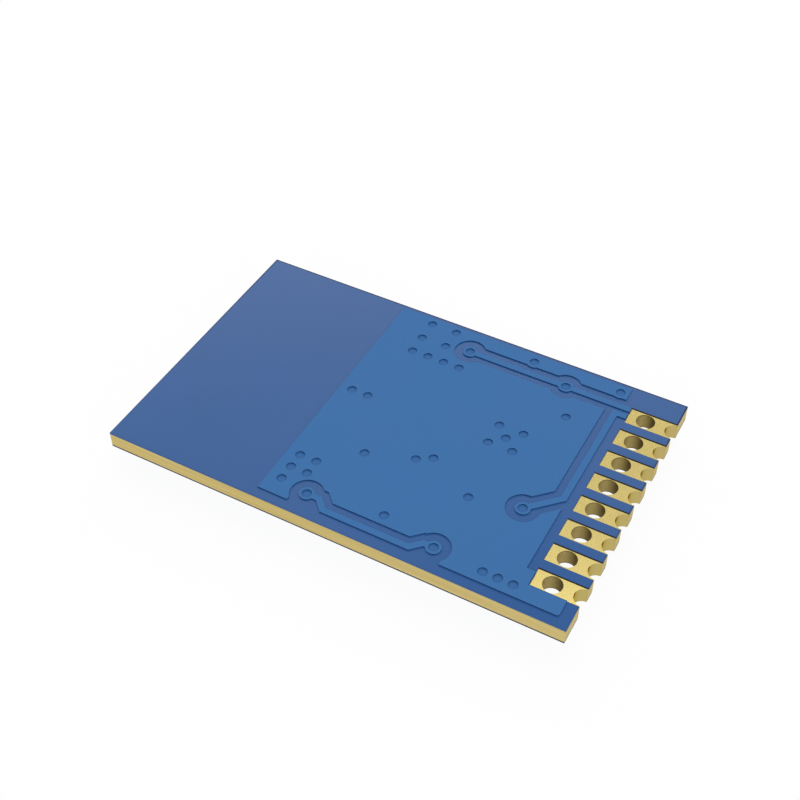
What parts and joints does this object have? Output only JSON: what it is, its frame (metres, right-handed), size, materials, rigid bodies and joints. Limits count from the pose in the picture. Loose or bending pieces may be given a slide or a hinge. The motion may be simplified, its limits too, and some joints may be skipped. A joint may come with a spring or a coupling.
{
  "type": "wireless transceiver module",
  "caption": "Small blue circuit board radio module: printed antenna at one end, plated contacts with holes and half holes in the edge at the other, chip and crystal beneath.",
  "frame": {"origin": "centre of the board's outline in plan, on the plane that the chip and the crystal rest on", "axes": "+Z out of the solder side, which the picture shows; +X along the board towards its edge contacts; +Y towards the first contact"},
  "size_m": [0.019, 0.012, 0.0017],
  "materials": {
    "laminate": "glass fibre laminate, sawn edge",
    "solder_mask": "blue solder mask, satin",
    "gold": "gold flash over copper, satin",
    "copper": "copper foil under the mask",
    "chip_epoxy": "black moulding compound",
    "tin": "matte tin plating",
    "solder": "reflowed solder, bright",
    "crystal_ceramic": "dark alumina, matt",
    "lid_metal": "nickel plated lid, satin",
    "capacitor_ceramic": "brown dielectric, matt",
    "inductor_ceramic": "pale grey ceramic, matt",
    "resistor_ceramic": "white alumina, matt",
    "resistor_coat": "black overcoat"
  },
  "bodies": {
    "root": {"substrate": "laminate", "via_barrels": "copper", "ground_plane_back": "copper", "supply_tracks": "copper", "crystal_link_track": "copper", "ground_plane_front": "copper", "signal_tracks": "copper", "antenna": "copper", "solder_mask_back": "solder_mask", "solder_mask_front": "solder_mask", "chip_body": "chip_epoxy", "chip_leads": "tin", "chip_thermal_pad": "tin", "crystal_base": "crystal_ceramic", "crystal_lid": "lid_metal", "crystal_terminals": "gold", "solder_joints": "solder", "contact_1": "gold", "contact_2": "gold", "contact_3": "gold", "contact_4": "gold", "contact_5": "gold", "contact_6": "gold", "contact_7": "gold", "contact_8": "gold", "capacitor_1_body": "capacitor_ceramic", "capacitor_1_terminals": "tin", "capacitor_2_body": "capacitor_ceramic", "capacitor_2_terminals": "tin", "capacitor_3_body": "capacitor_ceramic", "capacitor_3_terminals": "tin", "capacitor_4_body": "capacitor_ceramic", "capacitor_4_terminals": "tin", "capacitor_5_body": "capacitor_ceramic", "capacitor_5_terminals": "tin", "capacitor_6_body": "capacitor_ceramic", "capacitor_6_terminals": "tin", "capacitor_7_body": "capacitor_ceramic", "capacitor_7_terminals": "tin", "capacitor_8_body": "capacitor_ceramic", "capacitor_8_terminals": "tin", "capacitor_9_body": "capacitor_ceramic", "capacitor_9_terminals": "tin", "inductor_1_body": "inductor_ceramic", "inductor_1_terminals": "tin", "inductor_2_body": "inductor_ceramic", "inductor_2_terminals": "tin", "inductor_3_body": "inductor_ceramic", "inductor_3_terminals": "tin", "resistor_1_body": "resistor_ceramic", "resistor_1_terminals": "tin", "resistor_2_body": "resistor_ceramic", "resistor_2_terminals": "tin", "resistor_1_coat": "resistor_coat", "resistor_2_coat": "resistor_coat"}
  },
  "joints": []
}
